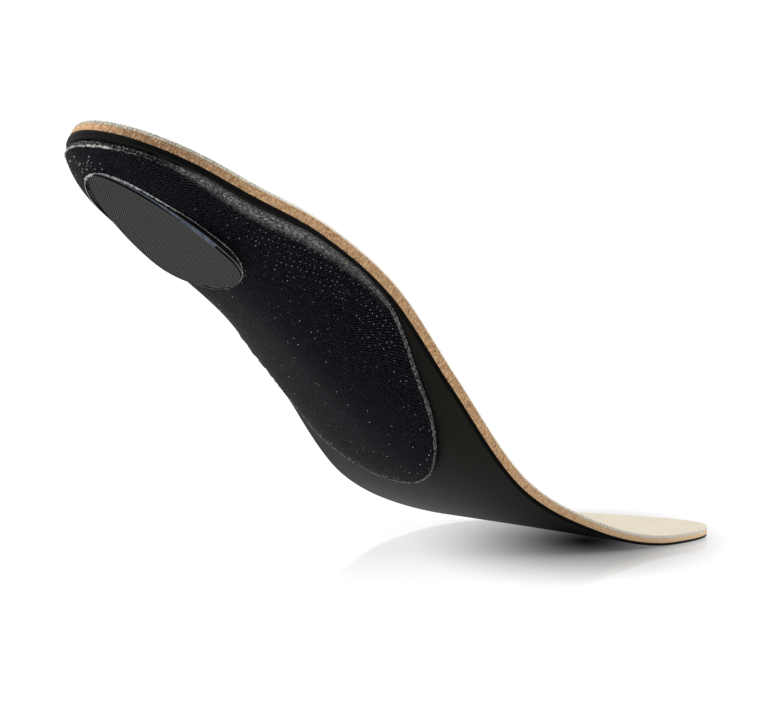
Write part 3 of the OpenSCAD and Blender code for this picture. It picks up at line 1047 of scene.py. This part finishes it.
# the ribbed sheet: columns along the ribs' own direction
turn = math.radians(pad["ribTurn"])
across = np.array([math.cos(turn), -math.sin(turn)])
down = np.array([math.sin(turn), math.cos(turn)])
padX, padY = padOutline(2400)
u = padX * across[0] + padY * across[1]
v = padX * down[0] + padY * down[1]
first, last = int(np.argmin(u)), int(np.argmax(u))
u, v = np.roll(u, -first), np.roll(v, -first)
last = (last - first) % len(u)
sideA = (u[: last + 1], v[: last + 1])
sideB = (np.append(u[last:], u[0])[::-1], np.append(v[last:], v[0])[::-1])
columns = int((u.max() - u.min()) / pad["ribPitch"] * pad["perRib"])
atU = np.linspace(u.min(), u.max(), columns)
vA, vB = np.interp(atU, *sideA), np.interp(atU, *sideB)
bpy.ops.mesh.primitive_grid_add(x_subdivisions=columns - 1, y_subdivisions=pad["rows"], size=1)
padSheet = bpy.context.active_object
padSheet.name = padSheet.data.name = "ribbedPad"
rowsAt = ease(np.linspace(0, 1, pad["rows"] + 1))
gridV = vA[None, :] + (vB - vA)[None, :] * rowsAt[:, None]
gridU = np.repeat(atU[None, :], pad["rows"] + 1, 0)
toEdge = np.minimum(rowsAt, 1 - rowsAt)[:, None] * np.abs(vB - vA)[None, :]
relief = pad["ribDeep"] * (0.5 - 0.5 * np.cos(2 * math.pi * gridU / pad["ribPitch"])) * ease(toEdge / 0.5)
flatX = gridU * across[0] + gridV * down[0]
flatY = gridU * across[1] + gridV * down[1]
local = np.stack([flatX, flatY, relief], 2).reshape(-1, 3)
padSheet.data.vertices.foreach_set("co", (local / 1000).astype(np.float32).ravel())
only(padSheet)
bpy.ops.object.mode_set(mode="EDIT")
bpy.ops.mesh.select_all(action="SELECT")
bpy.ops.mesh.extrude_region_move(TRANSFORM_OT_translate={"value": (0, 0, pad["thick"] / 1000)})
bpy.ops.object.mode_set(mode="OBJECT")
co = np.zeros(len(padSheet.data.vertices) * 3, np.float32)
padSheet.data.vertices.foreach_get("co", co)
co = co.reshape(-1, 3).astype(float) * 1000
co[:, 2] = np.where(co[:, 2] > pad["thick"] * 0.9, pad["thick"], co[:, 2])
padSheet.data.vertices.foreach_set("co", onPad(co[:, 0], co[:, 1], co[:, 2]).astype(np.float32).ravel())
keepPlace(padSheet.data, co)
finishMesh(padSheet, 55, 0.000004)
dress(padSheet, ribMaterial(ribLook))
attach(padSheet, "rearfoot")
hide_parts("heel_pad_sheet")
print("pad made")

# the glue between pad and post, wiped over the pad's edge in a band along part of the inner side
bead = {
    "around": 900,
    "thin": 0.13,
    "from": 17,
    "to": 45.5,
    "low": 0.06,
    "high": 1.25,
    "out": 0.16,
    "seed": 41,
    "inset": 0.6,
    # how far out the band's side is, as a share, and how high up
    "side": [(0.6, 0.03), (0.95, 0.14), (0.55, 0.3), (0.42, 0.5), (0.6, 0.72), (1.0, 0.88), (0.7, 0.97)],
}
beadX, beadY = padOutline(bead["around"])
inner = beadY < pad["middle"]
swell = ease((beadX - bead["from"]) / (bead["to"] - bead["from"]) * 1.2) * inner
swell = swell * ease((bead["to"] - beadX) / 0.5)
ripple = 1 + 0.12 * waves(bead["seed"], bead["around"], [9, 23, 51])
wiped = {
    "foot": pad["thick"] - 0.02 + (bead["low"] - pad["thick"]) * swell,
    "head": pad["thick"] + pad["glue"] + (bead["high"] - pad["thick"] - pad["glue"]) * swell,
    "out": (bead["thin"] + (bead["out"] - bead["thin"]) * swell) * ripple,
}
ox, oy = outward(beadX, beadY)
beadRows, beadFlats = [], []


def addBeadRow(reach, level, share=1):
    # reach is outward from the pad's edge; with share 0 the row closes in the middle of the pad
    level = np.broadcast_to(level, len(beadX))
    px = pad["widest"] + (beadX + ox * reach - pad["widest"]) * share
    py = pad["middle"] + (beadY + oy * reach - pad["middle"]) * share
    beadRows.append(onPad(px, py, level))
    beadFlats.append(np.stack([px, py, level], 1))


padTop, glueTop = pad["thick"] + 0.01, pad["thick"] + pad["glue"]
addBeadRow(0, padTop, 0)
addBeadRow(-bead["inset"], padTop)
addBeadRow(0.01, wiped["foot"])
for reach, at in bead["side"]:
    addBeadRow(wiped["out"] * reach, wiped["foot"] + (wiped["head"] - wiped["foot"]) * at)
addBeadRow(-0.3, wiped["head"])
addBeadRow(-bead["inset"], glueTop)
addBeadRow(0, glueTop, 0)
glueBead = formed("glueBead", beadRows, beadFlats, smoothAngle=60)
dress(glueBead, glueMaterial(glueLook))
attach(glueBead, "rearfoot")
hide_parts("heel_pad_glue")
print("glue made")

# cut yarns along the edge of the seat
fringe = {
    "seed": 61,
    "around": 900,
    "out": 0.1,  # outside the edge of the seat
    "sunk": 0.02,
    "thick": [0.46, 0.38, 0.20, 0.08, 0.13],
    "at": [0, 14, 24, 34, 50],
    "turns": [7, 19, 41],
    "swell": 0.25,
    "knots": 1.1,
    "least": 0.03,
    "most": 0.55,
    "outerMost": 0.12,  # on the outer side
    "outerFrom": 6,
    "goneFrom": (50, -12),  # under the front end of the pad
    "jog": 0.1,
    "hairs": 70,
    "hairR": 0.035,
    "hairFrom": 2,
    "short": 0.4,
    "long": 1.3,
    "sides": 5,
}


def frayedRope(look, x):
    # how thick the rope is along its outline, and how far it strays
    knots = look["swell"] * waves(look["seed"] + 1, len(x), look["turns"])
    knots = knots + look["knots"] * ragged(look["seed"] + 2, len(x), 3)
    thick = np.clip(curve(look["at"], look["thick"], x) * (1 + knots), look["least"], look["most"])
    return thick, look["jog"] * ragged(look["seed"] + 3, len(x), 3)


rng = np.random.default_rng(fringe["seed"])
ropeX, ropeY = seatOutline(fringe["around"], fringe["out"])
ropeZ = shellBottom(ropeX, ropeY) - fringe["sunk"]
goneX, goneY = fringe["goneFrom"]
underFront = (ropeX > goneX) & (ropeY > goneY)
ropeR, jog = frayedRope(fringe, ropeX)
ropeR = np.where(ropeY > fringe["outerFrom"], np.minimum(ropeR, fringe["outerMost"]), ropeR)
ropeR = np.where(underFront, fringe["least"], ropeR)
ropes = [closedUp(rolled(ropeX + jog, ropeY + jog, ropeZ))]
radii = [closedUp(ropeR) / 1000]
for i in rng.choice(np.flatnonzero((ropeY < fringe["hairFrom"]) & ~underFront), fringe["hairs"]):
    reach = rng.uniform(fringe["short"], fringe["long"])
    way = rng.uniform(0, 2 * math.pi)
    lift = rng.uniform(-0.3, -0.05)
    t = np.linspace(0, 1, 6)
    hx = ropeX[i] + reach * t * math.cos(way) + 0.2 * np.sin(t * 4 + way) - 0.2 * math.sin(way)
    hy = ropeY[i] + reach * t * math.sin(way) + 0.2 * np.cos(t * 5 + way) - 0.2 * math.cos(way)
    hz = np.minimum(ropeZ[i], shellBottom(hx, hy)) + lift * np.sin(t * 2.4)
    ropes.append(rolled(hx, hy, hz))
    radii.append(np.full(len(t), fringe["hairR"] / 1000))
seatFringe = manyTubes("seatFringe", ropes, radii, fringe["sides"])
dress(seatFringe, yarnMaterial(yarnLook))
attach(seatFringe, "rearfoot")

# the frayed rim of the knit, whitish at the heel and grey round the front
fray = {
    "seed": 161,
    "thick": [0.30, 0.30, 0.10, 0.09, 0.20, 0.22, 0.20, 0.27, 0.33, 0.32],
    "at": [0, 3.5, 6, 18, 26, 60, 90, 106, 125, 165],
    "turns": [11, 29, 67],
    "swell": 0.3,
    "knots": 0.9,
    "least": 0.03,
    "most": 0.42,
    "jog": 0.10,
    "hairs": 330,
    "hairR": 0.04,
    "heelHairs": (3, 20),
    "restHairs": (28, 20),  # from this far forward, and no further out than this
    "short": 0.3,
    "long": 0.95,
    "sunk": 0.05,
    "lift": 0.25,
    "curl": 0.15,
    "sides": 5,
}
rng = np.random.default_rng(fray["seed"])
frayX, frayY = knitRim
frayZ = shellBottom(frayX, frayY)
frayR, jog = frayedRope(fray, frayX)
ropes = [closedUp(rolled(frayX + nx * jog, frayY + ny * jog, frayZ))]
radii = [closedUp(frayR) / 1000]
places = [closedUp(np.stack(knitRim, 1))]
heelLow, heelHigh = fray["heelHairs"]
restX, restY = fray["restHairs"]
frayed = (frayX > heelLow) & (frayX < heelHigh) | (frayX > restX) & (frayY < restY)
for i in rng.choice(np.flatnonzero(frayed), fray["hairs"]):
    reach = rng.uniform(fray["short"], fray["long"])
    way = rng.uniform(0, 2 * math.pi)
    t = np.linspace(0, 1, 5)
    hx = frayX[i] + reach * t * math.cos(way)
    hy = frayY[i] + reach * t * math.sin(way) + fray["curl"] * np.sin(t * 5)
    ropes.append(rolled(hx, hy, frayZ[i] - fray["sunk"] - fray["lift"] * np.sin(t * 2.6)))
    radii.append(np.full(len(t), fray["hairR"] / 1000))
    places.append(np.stack([hx, hy], 1))
rimFringe = manyTubes("rimFringe", ropes, radii, fray["sides"], places)
dress(rimFringe, frayMaterial(frayLook))
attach(rimFringe, "rearfoot")

# resin dots that the knit lets through: thick along the arch's rim and behind the seat, sparse elsewhere
dots = {
    "seed": 81,
    "along": 1.8,
    "across": 1.15,
    "loose": 0.28,
    "small": 0.11,
    "large": 0.22,
    "sparse": 0.013,
    "arch": 0.8,
    "inArch": 0.05,
    "front": 0.16,
    "heel": 0.85,
    "blotches": 0.02,
    "fromRim": 0.9,
    "clearOfSeat": (28.9, 21.5),
    "sides": 7,
    "rings": ((1.0, -0.3), (0.9, 0.35), (0.5, 0.72)),  # width and height of each ring, in radii
    "top": 0.85,
}
rng = np.random.default_rng(dots["seed"])
gridX, gridY = np.meshgrid(np.arange(2, 161, dots["along"]), np.arange(-34, 38, dots["across"]))
gridX = gridX + dots["along"] / 2 * (np.arange(len(gridX))[:, None] % 2)
gridX, gridY = gridX.ravel(), gridY.ravel()
gridX = gridX + rng.uniform(-dots["loose"], dots["loose"], len(gridX))
gridY = gridY + rng.uniform(-dots["loose"], dots["loose"], len(gridY))
fromRim = (1 - shellRho(gridX, gridY)) * shellWide(gridX)
blotch = 0.5 + 0.5 * np.sin(gridX * 0.16 + 1.5) * np.sin(gridY * 0.2 + gridX * 0.07)
arch = ease((gridX - 40) / 14) * ease((132 - gridX) / 25) * (gridY < 0)
front = ease((gridX - 128) / 12)
behind = np.exp(-(((gridX - 7.2) / 2.2) ** 2) - ((gridY - 0.5) / 6.5) ** 2)
chance = dots["sparse"] + dots["arch"] * arch * ease((9 - fromRim) / 5.5)
chance = chance + dots["inArch"] * arch * ease((26 - fromRim) / 12)
chance = chance + dots["front"] * front * ease((7 - fromRim) / 5)
chance = chance + dots["heel"] * behind + dots["blotches"] * blotch
clearX, clearY = dots["clearOfSeat"]
overSeat = ((gridX - seat["x"]) / clearX) ** 2 + ((gridY - seat["y"]) / clearY) ** 2
keep = (rng.uniform(0, 1, len(gridX)) < chance) & (fromRim > dots["fromRim"]) & (overSeat > 1)
dotX, dotY = gridX[keep], gridY[keep]
dotR = rng.uniform(dots["small"], dots["large"], len(dotX)) * (1 + 0.25 * ease((12 - dotX) / 4))
stretch = 1 + 0.5 * ease((15 - dotX) / 6)  # drawn out toward the seat at the heel
toSeat = np.arctan2(dotY - seat["y"], dotX - seat["x"])
eps = 0.05
here = rolled(dotX, dotY, shellBottom(dotX, dotY))
tanX = rolled(dotX + eps, dotY, shellBottom(dotX + eps, dotY)) - here
tanY = rolled(dotX, dotY + eps, shellBottom(dotX, dotY + eps)) - here
tanX /= np.linalg.norm(tanX, axis=1, keepdims=True)
out = np.cross(tanY, tanX)
out /= np.linalg.norm(out, axis=1, keepdims=True)
tanY = np.cross(out, tanX)
points, faces, marks = [], [], []
sides = dots["sides"]
for i in range(len(dotX)):
    base = len(points)
    r = dotR[i] / 1000
    toward, beside = math.cos(toSeat[i]), math.sin(toSeat[i])
    for ring, (wide, high) in enumerate(dots["rings"]):
        for k in range(sides):
            c = math.cos(2 * math.pi * k / sides) * stretch[i]
            s = math.sin(2 * math.pi * k / sides)
            level = tanX[i] * (c * toward - s * beside) + tanY[i] * (c * beside + s * toward)
            points.append(here[i] + r * (wide * level + high * out[i]))
            marks.append((dotX[i], dotY[i], ring))
    points.append(here[i] + r * dots["top"] * out[i])
    marks.append((dotX[i], dotY[i], len(dots["rings"])))
    for one in (base, base + sides):
        for k in range(sides):
            m = (k + 1) % sides
            faces.append((one + k, one + m, one + sides + m, one + sides + k))
    for k in range(sides):
        faces.append((base + 2 * sides + k, base + 2 * sides + (k + 1) % sides, base + 3 * sides))
    faces.append(tuple(base + k for k in range(sides - 1, -1, -1)))
resinDots = looseMesh("resinDots", points, faces, marks, 0.0000001)
dress(resinDots, resinMaterial(resinLook))
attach(resinDots, "rearfoot")
print("fringe and dots made:", len(dotX))

# floor, light and camera
stageLook = {
    # the floor's dark grey colour shows only in the painted contact shadow under the ball and toes; the
    # patch entries set where that shadow lies, its size, turn and softness
    "floor": (0.14, 0.14, 0.14, 1),
    "table": 0.93,
    "gloss": 0.06,
    "polish": 0.33,
    "paintedShadowAt": (-0.0262, -0.0130, 0),
    "patch": (0.061, 0.130, 1),
    "paintedShadowTurn": -41.2,
    "paintedShadowSoft": 2.2,
    "shine": (-1.7, -0.3),  # along the patch, from dull to shining
    "white": 1.1,  # the background behind the part
    "dim": 0.50,  # the room on the camera's side
    "cameraAt": (-0.7729, -0.9851, 0.1515),
    "looksAlong": (0.5559, 0.8269, -0.0845),
    "roll": 1.3,
    "lens": 183.1,
    "shift": (0.042, 0.0339),
    "sun": 2.4,
    "sunAt": (0.4, 0.6, 1.6),
    "heel": 6,
    "heelAt": (-1.3, 0.2, 0.5),
}
bpy.ops.mesh.primitive_plane_add(size=40, location=(0, 0, -0.0002))
floor = bpy.context.active_object
floor.name = "studioFloor"
# a white table that glows as if lit from below, with a painted contact shadow: a soft patch under the ball
# and toes where the glow fades and the dark grey floor colour shows
white = (1, 1, 1, 1)
sockets = {"Base Color": stageLook["floor"], "Coat Roughness": stageLook["gloss"], "Emission Color": white}
floorMaterial, floorTree, floorShader = startMaterial("studioFloor", rough=1, shine=0, sockets=sockets)
onFloor = addNode(floorTree, "TexCoord").outputs["Object"]
inputs = {"Vector": onFloor, "Location": stageLook["paintedShadowAt"], "Scale": stageLook["patch"]}
inputs["Rotation"] = (0, 0, math.radians(stageLook["paintedShadowTurn"]))
onPaintedShadow = addNode(floorTree, "Mapping", inputs, vector_type="TEXTURE").outputs["Vector"]
# painted contact shadow: the glow fades toward the middle of the patch
away = addNode(floorTree, "VectorMath", {0: onPaintedShadow}, operation="LENGTH").outputs["Value"]
near = sums(floorTree, "MINIMUM", away, 1.0)
shade = sums(floorTree, "SUBTRACT", 1.0, times(floorTree, near, near))
shade = sums(floorTree, "POWER", shade, stageLook["paintedShadowSoft"])
lit = sums(floorTree, "SUBTRACT", 1.0, shade)
floorTree.links.new(times(floorTree, lit, stageLook["table"]), floorShader.inputs["Emission Strength"])
toward = addNode(floorTree, "SeparateXYZ", {"Vector": onPaintedShadow}).outputs["Y"]
shineFrom, shineTo = stageLook["shine"]
inputs = {"Value": toward, "From Min": shineFrom, "From Max": shineTo, "To Max": stageLook["polish"]}
polish = addNode(floorTree, "MapRange", inputs, interpolation_type="SMOOTHSTEP").outputs["Result"]
floorTree.links.new(polish, floorShader.inputs["Coat Weight"])
floor.data.materials.append(floorMaterial)

world = bpy.data.worlds.new("studio")
bpy.context.scene.world = world
world.use_nodes = True
sky = world.node_tree
inputs = {0: addNode(sky, "TexCoord").outputs["Generated"], 1: stageLook["looksAlong"]}
facing = addNode(sky, "VectorMath", inputs, operation="DOT_PRODUCT").outputs["Value"]
inputs = {"Value": facing, "From Min": -0.5, "From Max": 0.35}
inputs.update({"To Min": stageLook["dim"], "To Max": stageLook["white"]})
brightness = addNode(sky, "MapRange", inputs, interpolation_type="SMOOTHSTEP").outputs["Result"]
sky.links.new(brightness, sky.nodes["Background"].inputs["Strength"])
sky.nodes["Background"].inputs["Color"].default_value = white
bpy.context.scene.view_settings.view_transform = "Standard"


def aimed(name, lamp, at, aim):
    holder = bpy.data.objects.new(name, lamp)
    bpy.context.scene.collection.objects.link(holder)
    holder.location = at
    holder.rotation_mode = "QUATERNION"
    holder.rotation_quaternion = (Vector(aim) - Vector(at)).to_track_quat("-Z", "Y")
    return holder


def softLight(name, at, aim, size, power):
    lamp = bpy.data.lights.new(name, "AREA")
    lamp.shape = "RECTANGLE"
    lamp.size, lamp.size_y = size
    lamp.energy = power
    return aimed(name, lamp, at, aim)


sun = bpy.data.lights.new("highLight", "SUN")
sun.energy = stageLook["sun"]
sun.angle = math.radians(70)
aimed("highLight", sun, stageLook["sunAt"], (0, 0, 0))
softLight("heelLight", stageLook["heelAt"], (-0.15, 0, 0.08), (0.7, 0.7), stageLook["heel"])

lens = bpy.data.cameras.new("studioCamera")
lens.lens = stageLook["lens"]
lens.sensor_width = 36
lens.shift_x, lens.shift_y = stageLook["shift"]
camera = bpy.data.objects.new("studioCamera", lens)
bpy.context.scene.collection.objects.link(camera)
camera.location = stageLook["cameraAt"]
level = Vector(stageLook["looksAlong"]).to_track_quat("-Z", "Y").to_matrix()
rolledOver = level @ Matrix.Rotation(math.radians(stageLook["roll"]), 3, "Z")
camera.rotation_mode = "QUATERNION"
camera.rotation_quaternion = rolledOver.to_quaternion()
lens.clip_start, lens.clip_end = 0.01, 50
bpy.context.scene.camera = camera
print("stage set")
